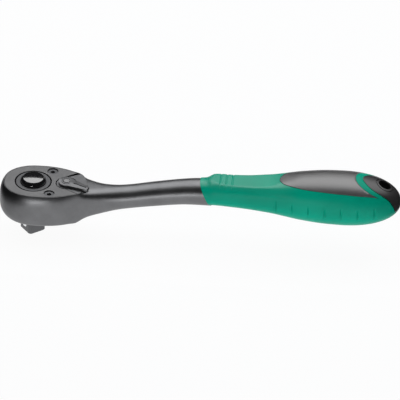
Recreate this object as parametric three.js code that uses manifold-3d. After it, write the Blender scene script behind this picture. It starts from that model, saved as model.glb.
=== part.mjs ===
// Reversible ratchet with a square drive, a quick-release button and a two-component moulded grip.
// Millimetres. The origin is the middle of the square's end face, +Z runs up to the cover plate
// and +X runs along the handle to its tail.
import * as THREE from 'three';
import { mergeVertices } from 'three/addons/utils/BufferGeometryUtils.js';
import Module from 'manifold-3d';

const wasm = await Module();
wasm.setup();

// Clearances
const runningGap = 0.3;
const seatGap = 0.2;

// Driving square
const squareWidth = 12.7;
const squareLength = 13.2;
const squareCornerRadius = 1.8;
const squareTipChamfer = 0.8;
const squareTurn = 37;
const squareRootDepth = 2.5;

// Ratchet head
const headHeight = 24.5;
const headHalfWidth = 21.4;
const headFrontReach = 24.4;
const headWidestAt = 2;
const headCentreDrop = 12;
const headUpReach = 18;
const headFloor = 5;
const headSquareness = 3;
const headLowerSquareness = 5.5;

// Shaft between head and grip
const shaftWaistRadius = 8;
const shaftEndRadius = 9.1;
const neckSquareness = 4;
const tangRadius = 6;
const tangStart = 104;
const tangEnd = 205;
const tangRise = 0.6;

// Cover plate and its screws
const plateThickness = 3;
const plateRim = 0.3;
const plateTailX = 31.2;
const plateTailRootBack = 0.95;
const plateTailRootHalf = 6.5;
const plateTailNearGap = 0.6;
const plateTailFarGap = 2.4;
const screwX = 11.9;
const screwSpread = 0.626;
const screwHeadRadius = 3.4;
const screwHeadHeight = 1.1;
const screwHeadDepth = 0.7;
const screwShankRadius = 1.25;
const screwLength = 8;
const screwSocketRadius = 1.6;
const screwSocketDepth = 1;

// Drive gear
const toothCount = 72;
const gearTipRadius = 15;
const toothDepth = 0.9;
const toothRootShare = 0.8;
const gearSideGap = 0.5;
const journalRadius = 9.5;
const hubRadius = 11.5;
const hubGap = 1;
const hubDrop = 0.1;
const washerThickness = 0.8;
const washerWidth = 3.8;
const driveSealThickness = 1.2;
const driveSealWidth = 1;
const driveSealLift = 1.4;
const hubSealWidth = 1.7;

// Quick release
const buttonRadius = 8.5;
const buttonWall = 1.6;
const buttonCrown = 3.6;
const buttonDome = 0.35;
const buttonEdgeRound = 2;
const buttonFlange = 1.1;
const buttonNeckDepth = 0.6;
const snapRingThickness = 1;
const snapRingWidth = 1.3;
const snapRingDepth = 5;
const snapRingOpening = 40;
const releaseTravel = 3;
const pinRadius = 2.1;
const pinSocketDepth = 3.2;
const ballRadius = 2.5;
const ballLevel = 5.8;
const ballRetraction = 1.2;
const rampLead = 0.5;
const pinFoot = 0.9;
const releaseSpringRadius = 3.7;
const releaseSpringWire = 0.8;
const releaseSpringTurns = 4.5;
const releaseSpringLength = 8;

// Reversing lever, its spindle and the pawl
const pivotX = 22.4;
const leverRest = -26;
const leverHubRadius = 6.7;
const leverHubGap = 0.6;
const leverRaisedRadius = 5.3;
const leverReach = 16.9;
const leverTipHalfWidth = 2.2;
const leverTipRound = 1;
const leverShoulder = 55;
const leverHeight = 2;
const leverRoofDrop = 0.45;
const leverRidgeHalfWidth = 0.5;
const leverGrooveHalfWidth = 0.3;
const leverGrooveDepth = 0.35;
const leverGrooveStart = 5.4;
const leverGrooveEnd = 15.4;
const bossRadius = 3.5;
const bossRise = 0.1;
const bossSinkRadius = 2.9;
const bossSinkDepth = 0.2;
const leverSealWidth = 0.9;
const leverSealThickness = 1.1;
const stemRadius = 2.1;
const spindleRadius = 3;
const spindleFlangeRadius = 7.9;
const spindleFlangeHeight = 1.2;
const spindleFootDepth = 2;
const pawlHubRadius = 5.2;
const pawlArmRadius = 19;
const pawlArmAngle = 37;
const pawlHubTangent = 75;
const pawlRock = 4.16;
const pawlReliefAngle = 14;
const pawlToothGap = 0.2;
const pawlSideGap = 0.4;
const pawlSwing = 1;
const plungerRadius = 1.05;
const plungerReach = 4.6;
const plungerLength = 3.6;
const plungerSpringWire = 0.3;
const plungerSpringRadius = 0.75;
const plungerSpringTurns = 2.5;
const plungerSpringLength = 2.3;

// Moulded grip
const gripFront = 112;
const gripFrontSlant = 0.46;
const gripFrontRadius = 9.4;
const gripWidestAt = 208;
const gripRadius = 18.4;
const gripTailReach = 39.1;
const gripTailFullness = 2.15;
const gripSquareness = 2.2;
const gripRise = 1.3;
const thumbGrooveFirst = 126;
const thumbGroovePitch = 4;
const thumbGrooveCount = 3;
const thumbGrooveRadius = 0.7;
const thumbGrooveDepth = 0.4;
const sideNotchFirst = 164.1;
const sideNotchPitch = 11.08;
const sideNotchCount = 7;
const sideNotchWidth = 1.1;
const sideNotchLength = 7;
const sideNotchDepth = 1.1;
const sideNotchDrop = 0.8;
const inlayFront = 165.7;
const inlayLength = 72;
const inlayDepth = 10.7;
const inlayBackShare = 0.1944;
const inlayBackSlantShare = 0.927;
const hangHoleShare = 0.7161;
const hangHoleRadius = 4.1;
const hangSleeveWall = 1.2;

// Levels that follow from the sizes above
const headBottom = squareLength + runningGap;
const plateTop = headBottom + headHeight;
const plateSeat = plateTop - plateThickness;
const cavityFloor = headBottom + headFloor;
const headDownReach = headHeight - headCentreDrop;
const washerBase = cavityFloor + seatGap;
const gearBase = washerBase + washerThickness + seatGap;
const hubTop = plateTop - hubDrop;
const cavityRadius = gearTipRadius + gearSideGap;
const flangeTop = plateSeat - runningGap;
const flangeBase = flangeTop - spindleFlangeHeight;
const pawlBase = cavityFloor + pawlSideGap;
const pawlTop = flangeBase - runningGap;
const gearTop = flangeBase - runningGap;
const plungerLevel = (pawlBase + pawlTop) / 2;
const snapRingBase = plateTop - snapRingDepth;
const neckBase = snapRingBase - runningGap;
const neckTop = snapRingBase + snapRingThickness + releaseTravel + runningGap;
const buttonBase = neckBase - buttonFlange;
const pocketFloor = buttonBase - releaseTravel - runningGap;
const springSeat = buttonBase - releaseSpringLength - 2 * seatGap;
const screwY = screwSpread * headHalfWidth;
const gripLength = gripWidestAt - gripFront;
const gripTop = plateTop + gripRise + gripRadius;
const inlayFloor = gripTop - inlayDepth;
const inlayBack = gripWidestAt + inlayBackShare * gripTailReach;
const inlayBackSlant = inlayBackSlantShare * gripTailReach / gripRadius;
const hangHoleX = gripWidestAt + hangHoleShare * gripTailReach;
const farAway = 400;

const fineRound = 36;
const mediumRound = 24;
const smallRound = 20;
const hexagon = 6;
const degrees = Math.PI / 180;
const lastRing = 86 * degrees;

// Finishes
const satinSteel = { color: 0x6d6f73, roughness: 0.42, metalness: 0.9 };
const plateSteel = { color: 0x7c7c7c, roughness: 0.5, metalness: 0.85 };
const darkSteel = { color: 0x55575b, roughness: 0.45, metalness: 0.9 };
const brightSteel = { color: 0xc9cbce, roughness: 0.15, metalness: 1 };
const springSteel = { color: 0x8d9094, roughness: 0.35, metalness: 1 };
const greenPlastic = { color: 0x008c69, roughness: 0.38, metalness: 0 };
const greyRubber = { color: 0x464446, roughness: 0.7, metalness: 0 };
const capPlastic = { color: 0x3c3c3e, roughness: 0.5, metalness: 0 };
const blackPlastic = { color: 0x101112, roughness: 0.12, metalness: 0 };
const sealRubber = { color: 0x1b1b1c, roughness: 0.8, metalness: 0 };

// A closed mesh becomes a solid: shared points are merged and empty triangles dropped.
function solidOf(geometry) {
  const bare = geometry.clone();
  bare.deleteAttribute('normal');
  bare.deleteAttribute('uv');
  const merged = mergeVertices(bare, 1e-4);
  const corners = merged.index.array;
  const kept = [];
  for (let i = 0; i < corners.length; i += 3) {
    const [a, b, c] = [corners[i], corners[i + 1], corners[i + 2]];
    if (a !== b && b !== c && c !== a) kept.push(a, b, c);
  }
  return new wasm.Manifold(new wasm.Mesh({
    numProp: 3,
    vertProperties: new Float32Array(merged.attributes.position.array),
    triVerts: new Uint32Array(kept),
  }));
}

function geometryOf(solid) {
  const mesh = solid.getMesh();
  const geometry = new THREE.BufferGeometry();
  const places = new Float32Array(mesh.vertProperties);
  geometry.setAttribute('position', new THREE.BufferAttribute(places, 3));
  geometry.setIndex(new THREE.BufferAttribute(new Uint32Array(mesh.triVerts), 1));
  return geometry;
}

function addPiece(group, name, solid, finish) {
  const geometry = geometryOf(solid);
  geometry.computeVertexNormals();
  const mesh = new THREE.Mesh(geometry, new THREE.MeshStandardMaterial(finish));
  mesh.name = name;
  group.add(mesh);
}

function cutAll(solid, tools) {
  return tools.reduce((rest, tool) => rest.subtract(tool), solid);
}

// Upright round bar from one level to another.
function bar(radius, low, high, x = 0, y = 0, sides = fineRound) {
  const geometry = new THREE.CylinderGeometry(radius, radius, high - low, sides);
  geometry.rotateX(Math.PI / 2);
  geometry.translate(x, y, (low + high) / 2);
  return solidOf(geometry);
}

// Round bar lying along X.
function lyingBar(radius, from, to, level, sides = smallRound) {
  const geometry = new THREE.CylinderGeometry(radius, radius, to - from, sides);
  geometry.rotateZ(Math.PI / 2);
  geometry.translate((from + to) / 2, 0, level);
  return solidOf(geometry);
}

// Upright prism of a plan outline.
function prismGeometry(shape, low, high, curveSegments = 12) {
  const depth = high - low;
  const geometry = new THREE.ExtrudeGeometry(shape, { depth, bevelEnabled: false, curveSegments });
  geometry.translate(0, 0, low);
  return geometry;
}

function prism(shape, low, high) {
  return solidOf(prismGeometry(shape, low, high));
}

// Prism across the handle of an outline drawn in side view, X along and level up.
function crossPrism(shape, halfWidth, curveSegments = 12) {
  const depth = 2 * halfWidth;
  const geometry = new THREE.ExtrudeGeometry(shape, { depth, bevelEnabled: false, curveSegments });
  geometry.rotateX(Math.PI / 2);
  geometry.translate(0, halfWidth, 0);
  return solidOf(geometry);
}

// Body of revolution about Z: the profile is radius and level, anticlockwise.
function turned(profile, sides = fineRound) {
  const points = profile.map(([radius, level]) => new THREE.Vector2(radius, level));
  const geometry = new THREE.LatheGeometry(points, sides);
  geometry.rotateX(Math.PI / 2);
  return solidOf(geometry);
}

function ring(inner, outer, low, high) {
  return turned([[inner, low], [outer, low], [outer, high], [inner, high], [inner, low]]);
}

function outline(points) {
  return new THREE.Shape(points.map(([x, y]) => new THREE.Vector2(x, y)));
}

// Skin over a row of rings with like numbers of points, closed by a fan at each end.
function loft(rings) {
  const count = rings[0].length;
  const positions = rings.flat().flatMap((point) => [point.x, point.y, point.z]);
  const faces = [];
  for (let i = 0; i + 1 < rings.length; i += 1) {
    for (let j = 0; j < count; j += 1) {
      const a = i * count + j;
      const b = i * count + (j + 1) % count;
      faces.push(a, b, a + count, b, b + count, a + count);
    }
  }
  for (const last of [false, true]) {
    const first = last ? (rings.length - 1) * count : 0;
    const middle = new THREE.Vector3();
    rings[last ? rings.length - 1 : 0].forEach((point) => middle.addScaledVector(point, 1 / count));
    const hub = positions.length / 3;
    positions.push(middle.x, middle.y, middle.z);
    for (let j = 0; j < count; j += 1) {
      const here = first + j;
      const next = first + (j + 1) % count;
      if (last) faces.push(hub, here, next);
      else faces.push(hub, next, here);
    }
  }
  const geometry = new THREE.BufferGeometry();
  geometry.setAttribute('position', new THREE.Float32BufferAttribute(positions, 3));
  geometry.setIndex(faces);
  return solidOf(geometry);
}

// The lower of two heights, with a rounded corner of a given width where they meet.
function lowerOf(one, other, softness) {
  const closeness = Math.max(1 - Math.abs(one - other) / softness, 0);
  return Math.min(one, other) - softness / 4 * closeness ** 2;
}

// Rounded-square ring across X, with its own reach and squareness above and below its centre and
// with nothing above its rest.
function sectionRing(x, section, sides) {
  const points = [];
  for (let j = 0; j < sides; j += 1) {
    const angle = (j + 0.5) * 2 * Math.PI / sides;
    const above = Math.sin(angle) > 0;
    const power = 2 / (above ? section.squareness : section.lowerSquareness);
    const across = Math.sign(Math.cos(angle)) * Math.abs(Math.cos(angle)) ** power;
    const rise = Math.abs(Math.sin(angle)) ** power;
    const level = section.centre + (above ? section.up * rise : -section.down * rise);
    const kept = lowerOf(level, section.rest, section.softness);
    points.push(new THREE.Vector3(x, section.halfWidth * across, kept));
  }
  return points;
}

// Round wire wound about Z from one level to the other.
function coil(radius, wire, turns, low, high) {
  const stepsPerTurn = 8;
  const sides = 5;
  const steps = Math.round(turns * stepsPerTurn);
  const climb = (high - low - wire) / (2 * Math.PI * turns);
  const rings = [];
  for (let i = 0; i <= steps; i += 1) {
    const angle = i * 2 * Math.PI / stepsPerTurn;
    const outward = new THREE.Vector3(Math.cos(angle), Math.sin(angle), 0);
    const forward = new THREE.Vector3(-radius * outward.y, radius * outward.x, climb).normalize();
    const upward = forward.clone().cross(outward);
    const centre = outward.clone().multiplyScalar(radius);
    centre.z = low + wire / 2 + climb * angle;
    rings.push(Array.from({ length: sides }, (_, j) => {
      const turn = j * 2 * Math.PI / sides;
      return centre.clone()
        .addScaledVector(outward, wire / 2 * Math.cos(turn))
        .addScaledVector(upward, wire / 2 * Math.sin(turn));
    }));
  }
  return loft(rings);
}

// Forged body behind the widest place of the head, one row for each station: X, half width, drop of
// the centre under the plate's top, reach above and below the centre, and squareness above and below.
const shaftFinish = gripFront + 12;
const headLevels = [headCentreDrop, headUpReach, headDownReach, headSquareness, headLowerSquareness];
const shaftStations = [
  [headWidestAt, headHalfWidth, ...headLevels],
  [headWidestAt + 6, headHalfWidth - 0.1, ...headLevels],
  [headWidestAt + 12, headHalfWidth - 0.8, ...headLevels],
  [headWidestAt + 18, headHalfWidth - 2.4, ...headLevels],
  [headWidestAt + 24, headHalfWidth - 5, 11.7, 17.5, 12.8, headSquareness, 5.5],
  [headWidestAt + 28, headHalfWidth - 7.1, 11.1, 16, 13.4, 3.4, 6],
  [headWidestAt + 32, headHalfWidth - 9.1, 10.5, 10.9, 12.2, neckSquareness, 5],
  [38, 10.9, 10.4, 9.8, 10.8, 3.6, 4.2],
  [46, 9.1, 10.1, 9, 9.5, 2.7, 3],
  [56, shaftWaistRadius + 0.2, 8.8, 8.3, 8.6, 2.1, 2.1],
  [66, shaftWaistRadius, 7, shaftWaistRadius, shaftWaistRadius + 0.3, 2, 2],
  [80, shaftWaistRadius + 0.2, 4.2, shaftWaistRadius + 0.2, shaftWaistRadius + 0.4, 2, 2],
  [100, 8.7, 1, 8.7, 8.7, 2, 2],
  [gripFront, shaftEndRadius, 0, shaftEndRadius, shaftEndRadius, 2, 2],
  [shaftFinish, shaftEndRadius, -0.4, shaftEndRadius, shaftEndRadius, 2, 2],
];
const shaftTrack = new THREE.CubicInterpolant(
  shaftStations.map((station) => station[0]), shaftStations.flatMap((station) => station.slice(1)), 6);

// Section of head, neck and shaft at any X.
function bodySection(x) {
  const [halfWidth, drop, up, down, squareness, lowerSquareness] =
    shaftTrack.evaluate(Math.max(x, headWidestAt));
  const share = Math.min(Math.max(headWidestAt - x, 0) / headFrontReach, 1);
  const height = Math.cbrt(1 - share ** 3);
  return {
    halfWidth: halfWidth * Math.sqrt(1 - share ** 2),
    centre: plateTop - drop,
    up: up * height,
    down: down * height,
    squareness,
    lowerSquareness,
    rest: farAway,
    softness: runningGap,
  };
}

// Half the width of the flat top at X, where the section reaches the plate's level.
function topHalfWidth(x) {
  const section = bodySection(x);
  const share = Math.min((plateTop - section.centre) / section.up, 1);
  return section.halfWidth * (1 - share ** section.squareness) ** (1 / section.squareness);
}

// Plan outline of the cover plate's seat, a given distance inside the edge of the flat top and with
// the two sides of its tail moved forward.
function plateOutline(inset, nearShift, farShift) {
  const frontShare = Math.cbrt(1 - (headCentreDrop / headUpReach) ** 3);
  const front = headWidestAt - headFrontReach * frontShare;
  const steps = 18;
  const sideWith = (tailShift) => {
    const tail = plateTailX - tailShift;
    const side = [];
    for (let i = 1; i <= steps; i += 1) {
      const x = front + (tail - front) * (i / steps) ** 2;
      const small = 0.01;
      const slope = (topHalfWidth(x + small) - topHalfWidth(x - small)) / (2 * small);
      const length = Math.hypot(1, slope);
      side.push([x + inset * slope / length, topHalfWidth(x) - inset / length]);
    }
    return [...side, [pivotX - plateTailRootBack - tailShift, plateTailRootHalf]];
  };
  const near = sideWith(nearShift).map(([x, y]) => [x, -y]);
  return outline([[front + inset, 0], ...near, ...sideWith(farShift).reverse()]);
}

// Everything in front of the slanting face where the grip meets the shaft.
function beforeGrip(shift) {
  const faceAt = (level) => gripFront + shift + gripFrontSlant * (plateTop + gripFrontRadius - level);
  const low = plateTop - farAway;
  const high = plateTop + farAway;
  const space = outline([[-farAway, low], [faceAt(low), low], [faceAt(high), high], [-farAway, high]]);
  return crossPrism(space, farAway);
}

// Plan outline of the gear teeth, grown for cutting the pawl.
function gearOutline(grow) {
  const pitch = 2 * Math.PI / toothCount;
  const root = gearTipRadius - toothDepth + grow;
  const tip = gearTipRadius + 2 * grow;
  const points = [];
  for (let i = 0; i < toothCount; i += 1) {
    const middle = (i + 0.5) * pitch;
    const rootHalf = toothRootShare * pitch / 2 + grow / gearTipRadius;
    for (const [radius, angle] of [[root, -rootHalf], [tip, 0], [root, rootHalf]]) {
      points.push([radius * Math.cos(middle + angle), radius * Math.sin(middle + angle)]);
    }
  }
  return outline(points);
}

const ratchet = new THREE.Group();

// Forged body with the gear chamber, the pawl chamber and the tang that carries the grip
const frontSteps = 7;
const shaftSteps = 22;
const shaftStepGrowth = 1.35;
const bodySides = 36;
const bodyPlaces = [];
for (let i = 0; i < frontSteps; i += 1) {
  const angle = lastRing * (1 - i / frontSteps);
  bodyPlaces.push(headWidestAt - headFrontReach * Math.sin(angle));
}
for (let i = 0; i <= shaftSteps; i += 1) {
  const share = (i / shaftSteps) ** shaftStepGrowth;
  bodyPlaces.push(headWidestAt + (shaftFinish - headWidestAt) * share);
}
const bodyBlank = loft(bodyPlaces.map((x) => sectionRing(x, bodySection(x), bodySides)));
const flatTopEnd = pivotX + leverReach;
const aboveHead = crossPrism(outline([
  [-farAway, plateTop], [flatTopEnd, plateTop], [flatTopEnd, farAway], [-farAway, farAway],
]), farAway);
const tang = lyingBar(tangRadius, tangStart, tangEnd, plateTop + tangRise, fineRound);
const pawlArm = pawlArmAngle * degrees;
const pawlSweep = Math.hypot(
  pivotX - gearTipRadius * Math.cos(pawlArm), gearTipRadius * Math.sin(pawlArm));
const behindPivot = crossPrism(outline([
  [pivotX + pawlSwing, 0], [farAway, 0], [farAway, farAway], [pivotX + pawlSwing, farAway],
]), farAway);
const pawlChamber = bar(pawlSweep + runningGap + pawlSideGap, cavityFloor, plateSeat + seatGap, pivotX)
  .subtract(behindPivot)
  .add(bar(pawlHubRadius + pawlSwing, cavityFloor, plateSeat, pivotX));
const sealSeat = headBottom + driveSealLift;
const screwPlaces = [['cover_screw_near', -screwY], ['cover_screw_far', screwY]];
const screwHeadTop = plateTop - screwHeadDepth;
const screwHeadBase = screwHeadTop - screwHeadHeight;
const screwEnd = screwHeadBase - screwLength;
const screwBore = (y, low) => bar(screwShankRadius + seatGap, low, farAway, screwX, y, smallRound);
const screwSink = (y) =>
  bar(screwHeadRadius + runningGap, screwHeadBase - seatGap, farAway, screwX, y, mediumRound);
const body = cutAll(bodyBlank.subtract(aboveHead).intersect(beforeGrip(0)).add(tang), [
  bar(cavityRadius, cavityFloor, plateSeat + seatGap),
  pawlChamber,
  bar(journalRadius + runningGap, 0, plateTop),
  ring(journalRadius, journalRadius + runningGap + driveSealWidth + seatGap,
    sealSeat - seatGap, sealSeat + driveSealThickness + seatGap),
  prism(plateOutline(plateRim, 0, 0), plateSeat, farAway),
  bar(leverHubRadius + leverHubGap, plateSeat - runningGap, farAway, pivotX),
  bar(spindleFlangeRadius + runningGap, flangeBase - runningGap, plateSeat + seatGap, pivotX),
  bar(spindleRadius + runningGap, cavityFloor - spindleFootDepth - runningGap, plateTop, pivotX),
  ...screwPlaces.map(([, y]) => screwBore(y, screwEnd - seatGap)),
]);
addPiece(ratchet, 'ratchet_body', body, satinSteel);

// Cover plate, let into the head and held by two sunk screws
const plateShape = plateOutline(plateRim + runningGap, plateTailNearGap, plateTailFarGap);
const plate = cutAll(prism(plateShape, plateSeat + seatGap, plateTop), [
  bar(hubRadius + hubGap, plateSeat, farAway),
  bar(leverHubRadius + leverHubGap, plateSeat, farAway, pivotX),
  ...screwPlaces.map(([, y]) => screwBore(y, plateSeat)),
  ...screwPlaces.map(([, y]) => screwSink(y)),
]);
addPiece(ratchet, 'cover_plate', plate, plateSteel);
for (const [name, y] of screwPlaces) {
  const socketFloor = screwHeadTop - screwSocketDepth;
  const screw = bar(screwHeadRadius, screwHeadBase, screwHeadTop, screwX, y, mediumRound)
    .add(bar(screwShankRadius, screwEnd, socketFloor, screwX, y, smallRound))
    .subtract(bar(screwSocketRadius, socketFloor, farAway, screwX, y, hexagon));
  addPiece(ratchet, name, screw, darkSteel);
}

// Drive gear in one piece: square, journal, teeth and hub, bored for the quick release
const squareAngle = squareTurn * degrees;
const ballAngle = squareAngle + Math.PI;
const upright = new THREE.Vector3(0, 0, 1);

function squareRing(width, level) {
  const points = [];
  const reach = width / 2 - squareCornerRadius;
  const steps = 3;
  for (let corner = 0; corner < 4; corner += 1) {
    for (let i = 0; i <= steps; i += 1) {
      const angle = (corner + i / steps) * Math.PI / 2;
      const side = (corner + 0.5) * Math.PI / 2;
      const x = Math.SQRT2 * reach * Math.cos(side) + squareCornerRadius * Math.cos(angle);
      const y = Math.SQRT2 * reach * Math.sin(side) + squareCornerRadius * Math.sin(angle);
      points.push(new THREE.Vector3(x, y, level).applyAxisAngle(upright, squareAngle));
    }
  }
  return points;
}

function ballHole() {
  const length = 2 * squareWidth;
  const radius = ballRadius + seatGap;
  const geometry = new THREE.CylinderGeometry(radius, radius, length, smallRound);
  geometry.rotateZ(ballAngle - Math.PI / 2);
  geometry.translate(length / 2 * Math.cos(ballAngle), length / 2 * Math.sin(ballAngle), ballLevel);
  return solidOf(geometry);
}

const squareBlank = loft([
  squareRing(squareWidth - 2 * squareTipChamfer, 0),
  squareRing(squareWidth, squareTipChamfer),
  squareRing(squareWidth, squareLength + squareRootDepth),
]);
const snapRingInner = buttonRadius - buttonNeckDepth + runningGap;
const snapRingOuter = snapRingInner + snapRingWidth;
const pinFootLevel = ballLevel - pinFoot;
const gear = cutAll(
  prism(gearOutline(0), gearBase, gearTop)
    .add(bar(hubRadius, gearBase, hubTop))
    .add(bar(journalRadius, squareLength, gearTop))
    .add(squareBlank),
  [
    bar(buttonRadius + runningGap, pocketFloor, farAway),
    bar(releaseSpringRadius + releaseSpringWire / 2 + runningGap, springSeat, farAway),
    bar(pinRadius + runningGap, pinFootLevel - releaseTravel - runningGap, farAway, 0, 0, smallRound),
    ring(buttonRadius, snapRingOuter + seatGap,
      snapRingBase - seatGap, snapRingBase + snapRingThickness + seatGap),
    ballHole(),
  ],
);
addPiece(ratchet, 'drive_gear', gear, darkSteel);
const washerInner = journalRadius + runningGap;
addPiece(ratchet, 'thrust_washer',
  ring(washerInner, washerInner + washerWidth, washerBase, washerBase + washerThickness), brightSteel);
const driveSealInner = journalRadius + seatGap;
addPiece(ratchet, 'drive_seal_ring',
  ring(driveSealInner, driveSealInner + driveSealWidth, sealSeat, sealSeat + driveSealThickness),
  sealRubber);
const hubSealInner = hubRadius + runningGap;
addPiece(ratchet, 'hub_seal_ring',
  ring(hubSealInner, hubSealInner + hubSealWidth, gearTop + seatGap, plateSeat - seatGap), sealRubber);

// Quick release: button, pin with its ramp, return spring, retaining ring and detent ball
const buttonNeck = buttonRadius - buttonNeckDepth;
const crownSteps = 4;
const domeRadius = buttonRadius - buttonEdgeRound;
const domeEdge = hubTop + buttonCrown - buttonDome;
const buttonShoulder = hubTop + buttonWall;
const crownEdge = Array.from({ length: crownSteps }, (_, i) => {
  const angle = i * Math.PI / 2 / crownSteps;
  const level = buttonShoulder + (domeEdge - buttonShoulder) * Math.sin(angle);
  return [domeRadius + buttonEdgeRound * Math.cos(angle), level];
});
const crownDome = Array.from({ length: crownSteps + 1 }, (_, i) => {
  const share = 1 - i / crownSteps;
  return [domeRadius * share, domeEdge + buttonDome * (1 - share ** 2)];
});
const button = turned([
  [0, buttonBase + pinSocketDepth],
  [pinRadius + seatGap, buttonBase + pinSocketDepth],
  [pinRadius + seatGap, buttonBase],
  [buttonRadius, buttonBase],
  [buttonRadius, neckBase],
  [buttonNeck, neckBase],
  [buttonNeck, neckTop],
  [buttonRadius, neckTop],
  ...crownEdge,
  ...crownDome,
]);
addPiece(ratchet, 'release_button', button, blackPlastic);
const rampBase = ballLevel - rampLead;
const waistRadius = pinRadius - ballRetraction;
const waistTop = rampBase + releaseTravel + ballRadius + rampLead;
const pinTop = buttonBase + pinSocketDepth - seatGap;
const pin = turned([
  [0, pinFootLevel],
  [pinRadius, pinFootLevel],
  [pinRadius, rampBase],
  [waistRadius, rampBase + releaseTravel],
  [waistRadius, waistTop],
  [pinRadius, waistTop + ballRetraction],
  [pinRadius, pinTop],
  [0, pinTop],
], smallRound);
addPiece(ratchet, 'release_pin', pin, brightSteel);
const releaseSpring = coil(releaseSpringRadius, releaseSpringWire, releaseSpringTurns,
  springSeat + seatGap, buttonBase - seatGap);
addPiece(ratchet, 'release_spring', releaseSpring, springSteel);
const snapShape = new THREE.Shape();
const snapStart = snapRingOpening / 2 * degrees;
snapShape.absarc(0, 0, snapRingOuter, snapStart, 2 * Math.PI - snapStart, false);
snapShape.absarc(0, 0, snapRingInner, 2 * Math.PI - snapStart, snapStart, true);
const snapRing = solidOf(prismGeometry(snapShape, snapRingBase, snapRingBase + snapRingThickness, 18));
addPiece(ratchet, 'button_snap_ring', snapRing, springSteel);
const ballReach = pinRadius + runningGap + ballRadius;
const ballPlace = new THREE.Group();
ballPlace.position.set(ballReach * Math.cos(ballAngle), ballReach * Math.sin(ballAngle), ballLevel);
addPiece(ballPlace, 'detent_ball', solidOf(new THREE.SphereGeometry(ballRadius, 20, 12)), brightSteel);
ratchet.add(ballPlace);

// Reversing lever on its spindle, drawn along +X from the pivot and turned to its rest
const leverPlace = new THREE.Group();
leverPlace.position.set(pivotX, 0, 0);
leverPlace.rotation.z = leverRest * degrees;
ratchet.add(leverPlace);
const leverBase = flangeTop + seatGap;
const fingerBase = plateTop + runningGap;
const fingerTop = plateTop + leverHeight;
const bossTop = fingerTop + bossRise;
const shoulder = leverShoulder * degrees;
const tipX = leverReach - leverTipRound;
const tipY = leverTipHalfWidth - leverTipRound;
const leverShape = new THREE.Shape();
leverShape.absarc(0, 0, leverRaisedRadius, shoulder, 2 * Math.PI - shoulder, false);
leverShape.absarc(tipX, -tipY, leverTipRound, -Math.PI / 2, 0, false);
leverShape.absarc(tipX, tipY, leverTipRound, 0, Math.PI / 2, false);
const eaves = fingerTop - leverRoofDrop;
const roofHalf = leverHubRadius;
const roofGeometry = prismGeometry(outline([
  [-roofHalf, fingerBase], [roofHalf, fingerBase], [roofHalf, eaves],
  [leverRidgeHalfWidth, fingerTop], [-leverRidgeHalfWidth, fingerTop], [-roofHalf, eaves],
]), -leverReach, 2 * leverReach);
roofGeometry.applyMatrix4(new THREE.Matrix4().makeBasis(
  new THREE.Vector3(0, 1, 0), new THREE.Vector3(0, 0, 1), new THREE.Vector3(1, 0, 0)));
const fingerGroove = new THREE.BoxGeometry(
  leverGrooveEnd - leverGrooveStart, 2 * leverGrooveHalfWidth, 2 * leverGrooveDepth);
fingerGroove.translate((leverGrooveStart + leverGrooveEnd) / 2, 0, fingerTop);
const leverSealBase = (leverBase + hubTop - leverSealThickness) / 2;
const sealGroove = leverHubRadius - leverSealWidth;
const lever = cutAll(
  prism(leverShape, fingerBase, fingerTop)
    .intersect(solidOf(roofGeometry))
    .add(bar(leverHubRadius, leverBase, hubTop))
    .add(bar(leverRaisedRadius - runningGap, leverBase, fingerBase + runningGap))
    .add(bar(bossRadius, leverBase, bossTop)),
  [
    bar(stemRadius + seatGap, 0, farAway, 0, 0, mediumRound),
    bar(bossSinkRadius, bossTop - bossSinkDepth, farAway, 0, 0, mediumRound),
    solidOf(fingerGroove),
    ring(sealGroove, leverHubRadius + runningGap,
      leverSealBase - seatGap, leverSealBase + leverSealThickness + seatGap),
  ],
);
addPiece(leverPlace, 'reversing_lever', lever, satinSteel);
addPiece(leverPlace, 'lever_seal_ring', ring(sealGroove + seatGap, leverHubRadius + runningGap / 2,
  leverSealBase, leverSealBase + leverSealThickness), sealRubber);
const plungerBack = plungerLength - plungerReach;
const plungerHoleEnd = plungerBack + seatGap + plungerSpringLength + seatGap;
const spindle = turned([
  [0, cavityFloor - spindleFootDepth],
  [spindleRadius, cavityFloor - spindleFootDepth],
  [spindleRadius, flangeBase],
  [spindleFlangeRadius, flangeBase],
  [spindleFlangeRadius, flangeTop],
  [stemRadius, flangeTop],
  [stemRadius, bossTop],
  [0, bossTop],
]).subtract(lyingBar(plungerRadius + seatGap, -farAway, plungerHoleEnd, plungerLevel));
addPiece(leverPlace, 'lever_spindle', spindle, brightSteel);
const plungerPlace = new THREE.Group();
plungerPlace.position.set(plungerBack, 0, plungerLevel);
plungerPlace.rotation.y = -Math.PI / 2;
leverPlace.add(plungerPlace);
const plungerNose = plungerLength - plungerRadius;
const noseSteps = 4;
const nose = Array.from({ length: noseSteps + 1 }, (_, i) => {
  const angle = i * Math.PI / 2 / noseSteps;
  const radius = i === noseSteps ? 0 : plungerRadius * Math.cos(angle);
  return [radius, plungerNose + plungerRadius * Math.sin(angle)];
});
const plunger = turned([[0, 0], [plungerRadius, 0], ...nose], smallRound);
addPiece(plungerPlace, 'pawl_plunger', plunger, brightSteel);
addPiece(plungerPlace, 'plunger_spring', coil(plungerSpringRadius, plungerSpringWire, plungerSpringTurns,
  -seatGap - plungerSpringLength, -seatGap), springSteel);

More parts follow.
